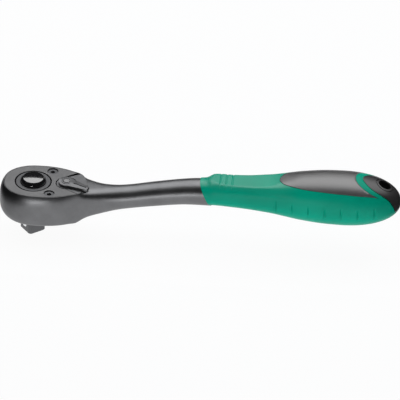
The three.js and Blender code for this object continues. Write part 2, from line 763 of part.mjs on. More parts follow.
// Pawl rocking about the spindle, its teeth cut by the gear at every stage of the rock
const pawlPlace = new THREE.Group();
pawlPlace.position.set(pivotX, 0, 0);
pawlPlace.rotation.z = pawlRock * degrees;
ratchet.add(pawlPlace);
const toothRoot = gearTipRadius - toothDepth;
const armX = pawlArmRadius * Math.cos(pawlArm) - pivotX;
const armY = pawlArmRadius * Math.sin(pawlArm);
const hubTangent = pawlHubTangent * degrees;
const pawlShape = new THREE.Shape();
pawlShape.absarc(-pivotX, 0, toothRoot, -pawlArm, pawlArm, false);
pawlShape.lineTo(armX, armY);
pawlShape.absarc(0, 0, pawlHubRadius, hubTangent, -hubTangent, true);
pawlShape.lineTo(armX, -armY);
const plungerSpan = Math.asin((plungerRadius + runningGap) / spindleRadius);
const windowHalf = (pawlRock - leverRest) * degrees + plungerSpan;
const windowRadius = plungerReach + runningGap;
const windowShape = new THREE.Shape();
windowShape.moveTo(0, 0);
windowShape.lineTo(-windowRadius * Math.cos(windowHalf), windowRadius * Math.sin(windowHalf));
windowShape.absarc(0, 0, windowRadius, Math.PI - windowHalf, Math.PI + windowHalf, false);
const rockStages = [-1, 0, 1];
const gearCutters = rockStages.map((stage) => {
  const geometry = prismGeometry(gearOutline(pawlToothGap), cavityFloor, plateSeat);
  geometry.translate(-pivotX, 0, 0);
  geometry.rotateZ(-stage * pawlRock * degrees);
  return solidOf(geometry);
});
const reliefAngle = pawlReliefAngle * degrees;
const reliefShape = new THREE.Shape();
reliefShape.moveTo(-pivotX, 0);
reliefShape.lineTo(cavityRadius * Math.cos(reliefAngle) - pivotX, -cavityRadius * Math.sin(reliefAngle));
reliefShape.absarc(-pivotX, 0, cavityRadius, -reliefAngle, reliefAngle, false);
const pawl = cutAll(prism(pawlShape, pawlBase, pawlTop), [
  bar(spindleRadius + runningGap, 0, plateTop),
  prism(reliefShape, 0, plateTop),
  prism(windowShape, 0, plateTop),
  ...gearCutters,
]);
addPiece(pawlPlace, 'pawl', pawl, darkSteel);

// Moulded grip from the front face to its widest place, one row for each station: place along it as
// a share of the grip's length, radius, rise of the centre over the plate's top, reach below the
// centre, and the height over the plate's top and rounding of the flat thumb rest that cuts it off.
const gripStations = [
  [-0.0417, gripFrontRadius, 0, gripFrontRadius, 1.5 * gripFrontRadius, 0.4],
  [0.0417, gripFrontRadius, 0.15 * gripRise, 0.96 * gripFrontRadius, 1.38 * gripFrontRadius, 0.4],
  [0.099, 1.1436 * gripFrontRadius, 1.23 * gripRise, 0.98 * gripFrontRadius, 1.234 * gripFrontRadius, 0.4],
  [0.2292, 1.1755 * gripFrontRadius, 1.08 * gripRise, 1.02 * gripFrontRadius, 1.138 * gripFrontRadius, 0.4],
  [0.3542, 0.6359 * gripRadius, 0.96 * gripRise, 0.56 * gripRadius, 0.5924 * gripRadius, 0.5],
  [0.4479, 0.6848 * gripRadius, gripRise, 0.612 * gripRadius, 0.6359 * gripRadius, 0.5],
  [0.5104, 0.7201 * gripRadius, gripRise, 0.65 * gripRadius, 0.6821 * gripRadius, 0.8],
  [0.5833, 0.7826 * gripRadius, gripRise, 0.708 * gripRadius, 0.7935 * gripRadius, 1.8],
  [0.6458, 0.8397 * gripRadius, gripRise, 0.762 * gripRadius, 0.9402 * gripRadius, 3.5],
  [0.7083, 0.8913 * gripRadius, gripRise, 0.81 * gripRadius, 1.1413 * gripRadius, 4],
  [0.8542, 0.9728 * gripRadius, gripRise, 0.885 * gripRadius, 1.6304 * gripRadius, 4],
  [1, gripRadius, gripRise, 0.908 * gripRadius, 2.1739 * gripRadius, 4],
  [1.0833, gripRadius, gripRise, 0.908 * gripRadius, 2.1739 * gripRadius, 4],
];
const gripStart = -0.0313;
const alongGrip = (share) => gripFront + share * gripLength;
const gripTrack = new THREE.CubicInterpolant(
  gripStations.map(([share]) => alongGrip(share)), gripStations.flatMap((station) => station.slice(1)), 5);

// Section of the grip at any X, rounded off at the tail.
function gripSection(x) {
  const [radius, rise, down, rest, softness] = gripTrack.evaluate(Math.min(x, gripWidestAt));
  const share = Math.max(x - gripWidestAt, 0) / gripTailReach;
  const left = (1 - share ** gripTailFullness) ** (1 / gripTailFullness);
  return {
    halfWidth: radius * left,
    centre: plateTop + rise,
    up: radius * left,
    down: down * left,
    squareness: gripSquareness,
    lowerSquareness: gripSquareness,
    rest: plateTop + rest,
    softness,
  };
}

function thumbGroove(x) {
  const section = gripSection(x);
  const level = lowerOf(section.centre + section.up, section.rest, section.softness);
  const geometry = new THREE.CylinderGeometry(thumbGrooveRadius, thumbGrooveRadius, 4 * gripRadius, 8);
  geometry.translate(x, 0, level + thumbGrooveRadius - thumbGrooveDepth);
  return solidOf(geometry);
}

function sideNotch(x, side) {
  const section = gripSection(x);
  const geometry = new THREE.BoxGeometry(sideNotchWidth, 2 * sideNotchDepth, sideNotchLength);
  geometry.translate(x, side * section.halfWidth, section.centre - sideNotchDrop);
  return solidOf(geometry);
}

// Plan outline of the soft inlay, half of it as a share of its length behind its tip and half width
// as a share of the grip's radius.
function inlayPlan(grow) {
  const half = new THREE.SplineCurve([
    [0, 0], [0.0139, 0.1739], [0.0583, 0.375], [0.1792, 0.5543], [0.3236, 0.6685], [0.4764, 0.7337],
    [0.6361, 0.7609], [0.7681, 0.7391], [0.9111, 0.644], [1, 0.5435],
  ].map(([along, across]) => new THREE.Vector2(
    inlayFront + along * inlayLength - grow, across * gripRadius + (along > 0 ? grow : 0))));
  const upper = half.getPoints(18).map((point) => [point.x, point.y]);
  const lower = upper.slice(1).map(([x, y]) => [x, -y]);
  return outline([...lower, ...upper.reverse()]);
}

// Side view of the space over the inlay's floor and in front of its slanting back edge.
function inlaySide(grow) {
  const floor = inlayFloor - grow;
  const high = gripTop + inlayDepth;
  const backAt = (level) => inlayBack + grow + inlayBackSlant * (gripTop - level);
  return outline([[gripFront, floor], [backAt(floor), floor], [backAt(high), high], [gripFront, high]]);
}

// Side view of the space behind the end cap's joint line: share of the tail's reach behind the
// grip's widest place, and height over the plate's top as a share of the grip's radius.
function endCapSide(shift) {
  const joint = new THREE.SplineCurve([
    [0.266, 1.1033], [0.2916, 1.038], [0.3887, 0.9647], [0.523, 0.8207], [0.6675, 0.6522],
    [0.806, 0.425], [0.876, 0.1772], [0.908, -0.044], [0.931, -0.2717], [0.944, -0.4891],
  ].map(([along, rise]) => new THREE.Vector2(
    gripWidestAt + along * gripTailReach + shift, plateTop + rise * gripRadius + shift)));
  const points = joint.getPoints(20).map((point) => [point.x, point.y]);
  return outline([...points, [farAway, points.at(-1)[1]], [farAway, points[0][1]]]);
}

const gripSteps = 20;
const tailSteps = 8;
const gripSides = 36;
const gripPlaces = [];
for (let i = 0; i <= gripSteps; i += 1) {
  gripPlaces.push(alongGrip(gripStart + (1 - gripStart) * i / gripSteps));
}
for (let i = 1; i <= tailSteps; i += 1) {
  gripPlaces.push(gripWidestAt + gripTailReach * Math.sin(lastRing * i / tailSteps));
}
const gripBlank = loft(gripPlaces.map((x) => sectionRing(x, gripSection(x), gripSides)));
const hangHole = bar(hangHoleRadius, -farAway, farAway, hangHoleX, 0, mediumRound);
const hangSleeve = (grow) =>
  bar(hangHoleRadius + hangSleeveWall + grow, -farAway, farAway, hangHoleX, 0, mediumRound);
const thumbGrooves = Array.from({ length: thumbGrooveCount }, (_, i) =>
  thumbGroove(thumbGrooveFirst + i * thumbGroovePitch));
const sideNotches = [-1, 1].flatMap((side) =>
  Array.from({ length: sideNotchCount }, (_, i) => sideNotch(sideNotchFirst + i * sideNotchPitch, side)));
const inlaySpace = (grow) =>
  prism(inlayPlan(grow), 0, farAway).intersect(crossPrism(inlaySide(grow), 2 * gripRadius));
const inlay = gripBlank.intersect(inlaySpace(0)).subtract(hangSleeve(seatGap));
const shell = cutAll(gripBlank, [
  beforeGrip(seatGap),
  lyingBar(tangRadius + seatGap, 0, tangEnd + seatGap, plateTop + tangRise, fineRound),
  ...thumbGrooves,
  ...sideNotches,
  inlaySpace(runningGap),
  crossPrism(endCapSide(0), 2 * gripRadius),
  hangSleeve(seatGap),
]);
addPiece(ratchet, 'handle_shell', shell, greenPlastic);
addPiece(ratchet, 'grip_inlay', inlay, greyRubber);
const endCap = crossPrism(endCapSide(runningGap), 2 * gripRadius)
  .add(hangSleeve(0))
  .intersect(gripBlank)
  .subtract(hangHole);
addPiece(ratchet, 'end_cap', endCap, capPlastic);

export default ratchet;
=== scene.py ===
import math

import bmesh
import bpy
from mathutils import Matrix, Vector


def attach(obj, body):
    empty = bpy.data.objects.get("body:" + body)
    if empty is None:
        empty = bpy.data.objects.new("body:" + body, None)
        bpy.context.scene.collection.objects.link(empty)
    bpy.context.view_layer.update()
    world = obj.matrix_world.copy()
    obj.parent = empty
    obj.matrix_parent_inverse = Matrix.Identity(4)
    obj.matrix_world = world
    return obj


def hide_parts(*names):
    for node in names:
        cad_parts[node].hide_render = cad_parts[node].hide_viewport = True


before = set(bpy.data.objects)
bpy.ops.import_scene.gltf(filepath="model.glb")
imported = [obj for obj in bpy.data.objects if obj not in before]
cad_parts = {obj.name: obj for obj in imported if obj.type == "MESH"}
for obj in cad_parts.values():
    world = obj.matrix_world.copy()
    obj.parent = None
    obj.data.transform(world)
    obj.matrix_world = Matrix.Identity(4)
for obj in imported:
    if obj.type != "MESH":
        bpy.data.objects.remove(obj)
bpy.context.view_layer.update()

# Studio: a long lens looks down on the tool from its near side. A strip lamp high behind it and a lamp
# overhead light it, a front lamp and an edge strip show in its near side, a low fill brightens the
# underside of the grip, and the tool stands on a white sheet in a dim room.
view_turn = math.radians(4.5)
view_height = math.radians(34)
view_roll = math.radians(1.02)
view_width = 0.268
view_distance = 12.0
level = Vector((math.cos(view_turn), math.sin(view_turn), 0))
upright = Vector((-math.sin(view_turn) * math.sin(view_height),
                  math.cos(view_turn) * math.sin(view_height), math.cos(view_height)))
across_view = math.cos(view_roll) * level + math.sin(view_roll) * upright
up_view = math.cos(view_roll) * upright - math.sin(view_roll) * level
towards_camera = across_view.cross(up_view)
hub_middle = Vector((0, 0, 0.038))
right_of_hub = 0.1117
below_hub = 0.01266
view_centre = hub_middle + right_of_hub * across_view - below_hub * up_view
camera = bpy.data.objects.new("camera", bpy.data.cameras.new("camera"))
bpy.context.scene.collection.objects.link(camera)
camera.location = view_centre + view_distance * towards_camera
camera.rotation_euler = Matrix((across_view, up_view, towards_camera)).transposed().to_euler()
sensor_width = 36
camera.data.sensor_width = sensor_width
camera.data.lens = sensor_width * view_distance / view_width
bpy.context.scene.camera = camera
bpy.context.scene.view_settings.view_transform = "Standard"


def hang_lamp(name, place, aim, width, depth, watts, mirrored=True):
    """A flat soft lamp at a place, facing a point, which shows in the metal or only lights it."""
    lamp = bpy.data.lights.new(name, "AREA")
    lamp.shape = "RECTANGLE"
    lamp.size = width
    lamp.size_y = depth
    lamp.energy = watts
    hung = bpy.data.objects.new(name, lamp)
    bpy.context.scene.collection.objects.link(hung)
    hung.location = place
    hung.rotation_euler = (Vector(place) - Vector(aim)).to_track_quat("Z", "Y").to_euler()
    hung.visible_camera = False
    hung.visible_glossy = mirrored


hang_lamp("strip_lamp", (0.11, 0.763, 0.966), (0.11, 0, 0.04), 2.0, 0.62, 8.2)
hang_lamp("overhead_lamp", (0.11, 0.135, 1.0), (0.11, 0.135, 0), 2.0, 0.61, 8.2)
hang_lamp("front_lamp", (-0.09, -0.9, 0.05), (0, 0, 0.03), 0.32, 0.18, 1.3)
hang_lamp("edge_strip", (0.1, -0.9, -0.1), (0.1, 0, 0.03), 1.6, 0.08, 0.5)
hang_lamp("low_fill", (0.13, -0.07, 0.012), (0.13, -0.03, 0.06), 0.5, 0.05, 0.08, mirrored=False)


class Value:
    """A shader socket that takes part in arithmetic: each sum or product adds a Math node."""

    def __init__(self, tree, socket):
        self.tree = tree
        self.socket = socket

    def node(self, kind, settings, inputs, output=0):
        added = self.tree.nodes.new(kind)
        for setting, choice in settings.items():
            setattr(added, setting, choice)
        for key, value in inputs.items():
            if isinstance(value, Value):
                self.tree.links.new(value.socket, added.inputs[key])
            else:
                added.inputs[key].default_value = value
        return Value(self.tree, added.outputs[output])

    def into(self, socket):
        self.tree.links.new(self.socket, socket)

    def sum(self, operation, first, second):
        return self.node("ShaderNodeMath", {"operation": operation}, {0: first, 1: second})

    def __add__(self, other):
        return self.sum("ADD", self, other)

    __radd__ = __add__

    def __sub__(self, other):
        return self.sum("SUBTRACT", self, other)

    def __rsub__(self, other):
        return self.sum("SUBTRACT", other, self)

    def __mul__(self, other):
        return self.sum("MULTIPLY", self, other)

    __rmul__ = __mul__

    def between(self, low, high):
        return self.node("ShaderNodeMapRange", {"interpolation_type": "SMOOTHSTEP"},
                         {"Value": self, "From Min": low, "From Max": high})

    def blend(self, first, second):
        return self.node("ShaderNodeMix", {"data_type": "RGBA"}, {0: self, 6: first, 7: second}, 2)

    def noise(self, scale, detail, roughness=0.5):
        return self.node("ShaderNodeTexNoise", {},
                         {"Vector": self, "Scale": scale, "Detail": detail, "Roughness": roughness})

    def bump(self, strength, depth):
        return self.node("ShaderNodeBump", {}, {"Strength": strength, "Distance": depth, "Height": self})


room = bpy.data.worlds.new("room")
bpy.context.scene.world = room
room.use_nodes = True
room_tree = room.node_tree
room_light = room_tree.nodes["Background"]
direction = Value(room_tree, room_tree.nodes.new("ShaderNodeTexCoord").outputs["Generated"])
compass = room_tree.nodes.new("ShaderNodeSeparateXYZ")
direction.into(compass.inputs[0])
far_side = Value(room_tree, compass.outputs["Y"])
height = Value(room_tree, compass.outputs["Z"])
near_glow, far_glow, ceiling_glow, floor_glow = 0.07, 0.25, 0.1, 0.25
far_wall = far_side.between(-0.3, 0.9)
ceiling = height.between(0.2, 1.0)
floor = (0 - height).between(0.05, 0.4)
room_strength = near_glow + far_glow * far_wall + ceiling_glow * ceiling + floor_glow * floor
room_strength.into(room_light.inputs["Strength"])

table_height = -0.0005
bpy.ops.object.select_all(action="DESELECT")
table_left, table_right = -0.06, 0.27
table_near, table_far = -0.24, 0.7
sheet_glow = 0.95
away = Vector((-math.sin(view_turn), math.cos(view_turn), 0))
table_middle = (table_left + table_right) / 2 * level + (table_near + table_far) / 2 * away
bpy.ops.mesh.primitive_plane_add(size=1, location=(table_middle.x, table_middle.y, table_height),
                                 rotation=(0, 0, view_turn))
table = bpy.context.object
table.scale = (table_right - table_left, table_far - table_near, 1)
table.name = "table"
bpy.ops.object.transform_apply(location=True, rotation=True, scale=True)
table_white = bpy.data.materials.new("table_white")
table_white.use_nodes = True
table_tree = table_white.node_tree
table_tree.nodes["Principled BSDF"].inputs["Base Color"].default_value = (0.78, 0.83, 0.9, 1)
table_tree.nodes["Principled BSDF"].inputs["Roughness"].default_value = 0.9
rays = table_tree.nodes.new("ShaderNodeLightPath")
seen = Value(table_tree, rays.outputs["Is Camera Ray"])
for ray in ("Is Glossy Ray", "Is Transmission Ray"):
    seen = seen.sum("MAXIMUM", seen, Value(table_tree, rays.outputs[ray]))
glow = seen.node("ShaderNodeEmission", {}, {"Color": (1, 1, 1, 1), "Strength": 1.0})
lit = Value(table_tree, table_tree.nodes["Principled BSDF"].outputs[0])
shown = seen.node("ShaderNodeMixShader", {}, {0: seen * sheet_glow, 1: lit, 2: glow})
shown.into(table_tree.nodes["Material Output"].inputs["Surface"])
table.data.materials.append(table_white)

# Forged body: head, neck and shaft in one drop forging of tool steel, blasted and chromed to a
# satin dark grey. Its flat top is milled out for the gear, the pawl and the let-in cover plate.
top = 0.038
chamber_floor = 0.0185
plate_seat = 0.035
pivot = 0.0224
widest = 0.002
front_reach = 0.0244
grip_front = 0.112
shaft_rows = [
    (0.002, 0.0214, 0.012, 0.018, 0.0125, 3, 5.5),
    (0.008, 0.0213, 0.012, 0.018, 0.0125, 3, 5.5),
    (0.014, 0.0206, 0.012, 0.018, 0.0125, 3, 5.5),
    (0.020, 0.0190, 0.012, 0.018, 0.0125, 3, 5.5),
    (0.026, 0.0164, 0.0117, 0.0175, 0.0128, 3, 5.5),
    (0.030, 0.0143, 0.0111, 0.016, 0.0134, 3.4, 6),
    (0.034, 0.0123, 0.0105, 0.0109, 0.0122, 4, 5),
    (0.038, 0.0109, 0.0104, 0.0098, 0.0108, 3.6, 4.2),
    (0.046, 0.0091, 0.0101, 0.009, 0.0095, 2.7, 3),
    (0.056, 0.0082, 0.0088, 0.0083, 0.0086, 2.1, 2.1),
    (0.066, 0.008, 0.007, 0.008, 0.0083, 2, 2),
    (0.080, 0.0082, 0.0042, 0.0082, 0.0086, 2, 2),
    (0.100, 0.0087, 0.001, 0.0087, 0.0087, 2, 2),
    (0.112, 0.0091, 0, 0.0091, 0.0091, 2, 2),
    (0.124, 0.0091, -0.0004, 0.0091, 0.0091, 2, 2),
]


def along_rows(rows, x):
    """A row at any X between the given ones, on a smooth curve through them."""
    last = len(rows) - 1
    i = 0
    while i < last - 1 and x > rows[i + 1][0]:
        i += 1
    here, after = rows[i], rows[i + 1]
    before, beyond = rows[max(i - 1, 0)], rows[min(i + 2, last)]
    span = after[0] - here[0]
    t = min(max((x - here[0]) / span, 0), 1)
    result = []
    for k in range(1, len(here)):
        slope_here = (after[k] - before[k]) / (after[0] - before[0]) * span
        slope_after = (beyond[k] - here[k]) / (beyond[0] - here[0]) * span
        result.append((2 * t**3 - 3 * t**2 + 1) * here[k] + (t**3 - 2 * t**2 + t) * slope_here
                      + (3 * t**2 - 2 * t**3) * after[k] + (t**3 - t**2) * slope_after)
    return result


def body_section(x):
    """Half width, centre level, reach up and down, and squareness up and down of the forging at X."""
    half_width, drop, up, down, squareness, lower_squareness = along_rows(shaft_rows, max(x, widest))
    share = min(max(widest - x, 0) / front_reach, 1)
    tall = (1 - share**3) ** (1 / 3)
    wide = math.sqrt(1 - share**2)
    return half_width * wide, top - drop, up * tall, down * tall, squareness, lower_squareness


def rounded(share, squareness):
    """A coordinate of the unit circle pushed out towards a square."""
    return math.copysign(abs(share) ** (2 / squareness), share)


def lower_of(one, other, softness):
    """The lower of two levels, with a rounded corner where they meet."""
    closeness = max(1 - abs(one - other) / softness, 0)
    return min(one, other) - softness / 4 * closeness**2


def lay_ring(x, section, points, slant=0.0, rest=1.0, softness=0.001):
    """Adds a ring across X to the piece in edit mode, laid on a rounded section and kept under a rest."""
    half_width, centre, up, down, squareness, lower_squareness = section
    bpy.ops.mesh.primitive_circle_add(vertices=points, radius=1, location=(x, 0, centre),
                                      rotation=(0, math.pi / 2, 0))
    ring = bmesh.from_edit_mesh(bpy.context.object.data)
    for vert in ring.verts:
        if vert.select:
            above = vert.co.z > centre
            shape = squareness if above else lower_squareness
            vert.co.y = half_width * rounded(vert.co.y, shape)
            natural = centre + rounded(vert.co.z - centre, shape) * (up if above else down)
            vert.co.z = lower_of(natural, rest, softness)
            vert.co.x = x - slant * (vert.co.z - centre)
    bmesh.update_edit_mesh(bpy.context.object.data)


def start_piece(name):
    """Deselects everything and opens a new piece at the origin in edit mode, with nothing in it."""
    bpy.ops.object.select_all(action="DESELECT")
    bpy.ops.mesh.primitive_plane_add(size=0.001)
    piece = bpy.context.object
    piece.name = name
    bpy.ops.object.mode_set(mode="EDIT")
    bpy.ops.mesh.delete(type="VERT")
    return piece


def skin_rings():
    """Bridges all rings of the piece in edit mode and closes the two ends."""
    bpy.ops.mesh.select_all(action="SELECT")
    bpy.ops.mesh.bridge_edge_loops()
    bpy.ops.mesh.select_all(action="DESELECT")
    bpy.ops.mesh.select_mode(type="EDGE")
    bpy.ops.mesh.select_non_manifold()
    bpy.ops.mesh.fill_holes(sides=0)
    bpy.ops.mesh.select_all(action="SELECT")
    bpy.ops.mesh.normals_make_consistent(inside=False)


def turn_bar(name, profile, sides=64, centre=(0, 0)):
    """A round piece about an upright axis: a ring is extruded from step to step of radius and level."""
    bpy.ops.object.select_all(action="DESELECT")
    radius, level = profile[0]
    bpy.ops.mesh.primitive_circle_add(vertices=sides, radius=radius, fill_type="NGON",
                                      location=(*centre, level))
    piece = bpy.context.object
    piece.name = name
    bpy.ops.object.transform_apply(location=True, rotation=True, scale=True)
    bpy.ops.object.mode_set(mode="EDIT")
    bpy.ops.mesh.select_all(action="SELECT")
    for next_radius, next_level in profile[1:]:
        bpy.ops.mesh.extrude_region_move(TRANSFORM_OT_translate={"value": (0, 0, next_level - level)})
        growth = next_radius / radius
        bpy.ops.transform.resize(value=(growth, growth, 1), center_override=(*centre, next_level))
        radius, level = next_radius, next_level
    bpy.ops.mesh.select_all(action="SELECT")
    bpy.ops.mesh.normals_make_consistent(inside=False)
    bpy.ops.object.mode_set(mode="OBJECT")
    return piece


def plain_bar(name, radius, low, high, sides=64, centre=(0, 0)):
    """A round bar of one radius, to cut a bore or add a boss with."""
    return turn_bar(name, [(radius, low), (radius, high)], sides, centre)


def raise_outline(name, points, low, high):
    """An upright prism: a ring is laid on the plan outline, filled and extruded up."""
    bpy.ops.object.select_all(action="DESELECT")
    bpy.ops.mesh.primitive_circle_add(vertices=len(points), radius=0.01, fill_type="NGON",
                                      location=(0, 0, low))
    piece = bpy.context.object
    piece.name = name
    bpy.ops.object.transform_apply(location=True, rotation=True, scale=True)
    for vert, (x, y) in zip(piece.data.vertices, points):
        vert.co.x, vert.co.y = x, y
    bpy.ops.object.mode_set(mode="EDIT")
    bpy.ops.mesh.select_all(action="SELECT")
    bpy.ops.mesh.extrude_region_move(TRANSFORM_OT_translate={"value": (0, 0, high - low)})
    bpy.ops.mesh.select_all(action="SELECT")
    bpy.ops.mesh.normals_make_consistent(inside=False)
    bpy.ops.object.mode_set(mode="OBJECT")
    return piece


def work_on(piece):
    """Makes a piece the only chosen one."""
    bpy.ops.object.select_all(action="DESELECT")
    piece.select_set(True)
    bpy.context.view_layer.objects.active = piece


def carve(piece, tool, operation="DIFFERENCE"):
    """Cuts a piece with a tool, which is used up."""
    work_on(piece)
    cut = piece.modifiers.new("cut", "BOOLEAN")
    cut.operation = operation
    cut.solver = "EXACT"
    cut.object = tool
    bpy.ops.object.modifier_apply(modifier=cut.name)
    bpy.data.objects.remove(tool)


def break_edges(piece, width, sharp=35, steps=2):
    """Rounds the sharp edges a little, as tumbling does, and smooths the rest."""
    work_on(piece)
    softened = piece.modifiers.new("soft_edges", "BEVEL")
    softened.width = width
    softened.segments = steps
    softened.limit_method = "ANGLE"
    softened.angle_limit = math.radians(sharp)
    bpy.ops.object.modifier_apply(modifier=softened.name)
    smooth(piece)


def smooth(piece, sharp=40):
    """Shades a piece smooth up to an angle, with large faces kept flat."""
    work_on(piece)
    bpy.ops.object.shade_smooth_by_angle(angle=math.radians(sharp))
    flat = piece.modifiers.new("flat_faces", "WEIGHTED_NORMAL")
    flat.keep_sharp = True
    bpy.ops.object.modifier_apply(modifier=flat.name)


def plate_points(inset, near_shift, far_shift):
    """Plan outline of the plate's seat, a distance inside the edge of the flat top, with the two sides
    of its tail moved forward."""
    front = widest - front_reach * (1 - (0.012 / 0.018) ** 3) ** (1 / 3)

    def top_half_width(x):
        half_width, centre, up, _, squareness, _ = body_section(x)
        share = min((top - centre) / up, 1)
        return half_width * (1 - share**squareness) ** (1 / squareness)

    def side_with(tail_shift):
        tail = 0.0312 - tail_shift
        side = []
        for i in range(1, 49):
            x = front + (tail - front) * (i / 48) ** 2
            step = 1e-5
            slope = (top_half_width(x + step) - top_half_width(x - step)) / (2 * step)
            length = math.hypot(1, slope)
            side.append((x + inset * slope / length, top_half_width(x) - inset / length))
        return side + [(pivot - 0.00095 - tail_shift, 0.0065)]

    near = [(x, -y) for x, y in side_with(near_shift)]
    return [(front + inset, 0)] + near + side_with(far_shift)[::-1]


end_slant = 0.46
tang_radius = 0.006
tang_end = 0.205
tang_level = top + 0.0006
body = start_piece("forged_body")
front_angles = [89.2 * (1 - i / 16) for i in range(16)]
body_places = [widest - front_reach * math.sin(math.radians(angle)) for angle in front_angles]
body_places += [widest + (grip_front - 0.002 - widest) * (i / 56) ** 1.25 for i in range(57)]
for x in body_places:
    lay_ring(x, body_section(x), 96)
end_place = grip_front + end_slant * 0.0094
lay_ring(end_place, body_section(grip_front), 96, end_slant)
tang_section = (tang_radius, tang_level, tang_radius, tang_radius, 2, 2)
lay_ring(end_place, tang_section, 96, end_slant)
lay_ring(tang_end, tang_section, 96)
skin_rings()
bpy.ops.mesh.select_mode(type="FACE")
bpy.ops.mesh.select_all(action="DESELECT")
for face in bmesh.from_edit_mesh(body.data).faces:
    face.select = face.calc_center_median().x < 0.0393
bpy.ops.mesh.bisect(plane_co=(0, 0, top), plane_no=(0, 0, 1), use_fill=True, clear_outer=True)
bpy.ops.object.mode_set(mode="OBJECT")
above_top = top + 0.01
plate_bottom = plate_seat + 0.0002
lever_room = 0.0073
screw_room = 0.00145
screw_x = 0.0119
screw_y = 0.0134
carve(body, raise_outline("plate_recess", plate_points(0.0003, 0, 0), plate_seat, above_top))
carve(body, plain_bar("gear_chamber", 0.0155, chamber_floor, plate_bottom, 96))
carve(body, plain_bar("journal_bore", 0.0098, 0, chamber_floor + 0.001, 96))
carve(body, plain_bar("seal_groove", 0.011, 0.0147, 0.0163, 96))
pawl_chamber = plain_bar("pawl_chamber", 0.0146, chamber_floor, plate_bottom, 96, (pivot, 0))
work_on(pawl_chamber)
bpy.ops.object.mode_set(mode="EDIT")
bpy.ops.mesh.select_all(action="SELECT")
bpy.ops.mesh.bisect(plane_co=(pivot + 0.001, 0, 0), plane_no=(1, 0, 0), use_fill=True, clear_outer=True)
bpy.ops.object.mode_set(mode="OBJECT")
carve(body, pawl_chamber)
carve(body, plain_bar("pawl_hub_room", 0.0062, chamber_floor, plate_seat, 64, (pivot, 0)))
carve(body, plain_bar("flange_room", 0.0082, 0.0332, plate_bottom, 64, (pivot, 0)))
carve(body, plain_bar("lever_room", lever_room, 0.0347, above_top, 96, (pivot, 0)))
carve(body, plain_bar("spindle_bore", 0.0033, 0.0162, top, 48, (pivot, 0)))
for side in (-1, 1):
    carve(body, plain_bar("screw_bore", screw_room, 0.028, above_top, 32, (screw_x, side * screw_y)))
smooth(body)


def new_finish(name, **settings):
    """A material with the settings that are the same all over, its shader, and a place on the piece."""
    material = bpy.data.materials.new(name)
    material.use_nodes = True
    tree = material.node_tree
    shader = tree.nodes["Principled BSDF"]
    for socket, setting in settings.items():
        shader.inputs[socket.replace("_", " ")].default_value = setting
    return material, shader, Value(tree, tree.nodes.new("ShaderNodeTexCoord").outputs["Object"])


def steel_finish(name, dark, light, roughness, grain_size=0.0004, grain_depth=0.00002):
    """Blasted steel: fine pits, a cloudy sheen and a faint change of tone."""
    material, shader, place = new_finish(name, Metallic=1.0)
    pits = place.noise(1 / grain_size, 3.0, 0.65)
    cloud = place.noise(90.0, 4.0, 0.6)
    tone = (0.6 * cloud + 0.4 * pits).between(0.35, 0.65)
    tone.blend((*dark, 1), (*light, 1)).into(shader.inputs["Base Color"])
    (roughness - 0.06 + 0.08 * cloud + 0.06 * pits).into(shader.inputs["Roughness"])
    pits.bump(0.5, grain_depth).into(shader.inputs["Normal"])
    return material


satin_steel = steel_finish("satin_steel", (0.158, 0.16, 0.165), (0.19, 0.192, 0.198), 0.38)
body.data.materials.append(satin_steel)
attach(body, "handle")
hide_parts("ratchet_body")

# Cover plate: a 3 mm steel plate let into the head over the gear and the pawl, ground flat and
# blasted. Two sunk screws hold it, and round openings clear the drive hub and the lever.
plate_gap, near_tail_gap, far_tail_gap = 0.0006, 0.0006, 0.0024
plate = raise_outline("top_plate", plate_points(plate_gap, near_tail_gap, far_tail_gap), plate_bottom, top)
carve(plate, plain_bar("hub_opening", 0.0125, plate_seat, above_top, 128))
carve(plate, plain_bar("lever_opening", lever_room, plate_seat, above_top, 96, (pivot, 0)))
for side in (-1, 1):
    place = (screw_x, side * screw_y)
    carve(plate, plain_bar("screw_opening", screw_room, plate_seat, above_top, 48, place))
    carve(plate, plain_bar("screw_sink", 0.0037, 0.036, above_top, 64, place))
break_edges(plate, 0.00018)
plate_steel = steel_finish("plate_steel", (0.167, 0.168, 0.171), (0.2, 0.201, 0.204), 0.46)
plate.data.materials.append(plate_steel)
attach(plate, "handle")
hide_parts("cover_plate")

# Plate screws: two small socket screws of dark steel, sunk below the face of the plate, with painted shade
# in their key sockets. The near one is turned and the far one is a copy of it.
key_reach = 0.0016
socket_low, socket_high = 0.0362, 0.0372
dark_steel = steel_finish("dark_steel", (0.118, 0.12, 0.125), (0.142, 0.144, 0.15), 0.44)
screw = turn_bar("plate_screw_near", [
    (0.00105, 0.0282), (0.00125, 0.0284), (0.00125, 0.0362), (0.0034, 0.0362), (0.0034, 0.0373),
], 48, (screw_x, -screw_y))
carve(screw, plain_bar("key_socket", key_reach, 0.0363, 0.039, 6, (screw_x, -screw_y)))
break_edges(screw, 0.00015)
screw.data.materials.append(dark_steel)
# Painted shade: the walls and floor of the key socket take a near-black finish for the shade inside the
# recess.
screw.data.materials.append(steel_finish("socket_painted_shade", (0.012, 0.012, 0.013), (0.02, 0.02, 0.021), 0.55))
for face in screw.data.polygons:
    across = math.hypot(face.center.x - screw_x, face.center.y + screw_y)
    if across < key_reach and socket_low < face.center.z < socket_high:
        face.material_index = 1
far_screw = screw.copy()
far_screw.data = screw.data.copy()
far_screw.name = "plate_screw_far"
bpy.context.scene.collection.objects.link(far_screw)
work_on(far_screw)
bpy.ops.transform.translate(value=(0, 2 * screw_y, 0))
bpy.ops.object.transform_apply(location=True, rotation=True, scale=True)
for piece, node in ((screw, "cover_screw_near"), (far_screw, "cover_screw_far")):
    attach(piece, "handle")
    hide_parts(node)

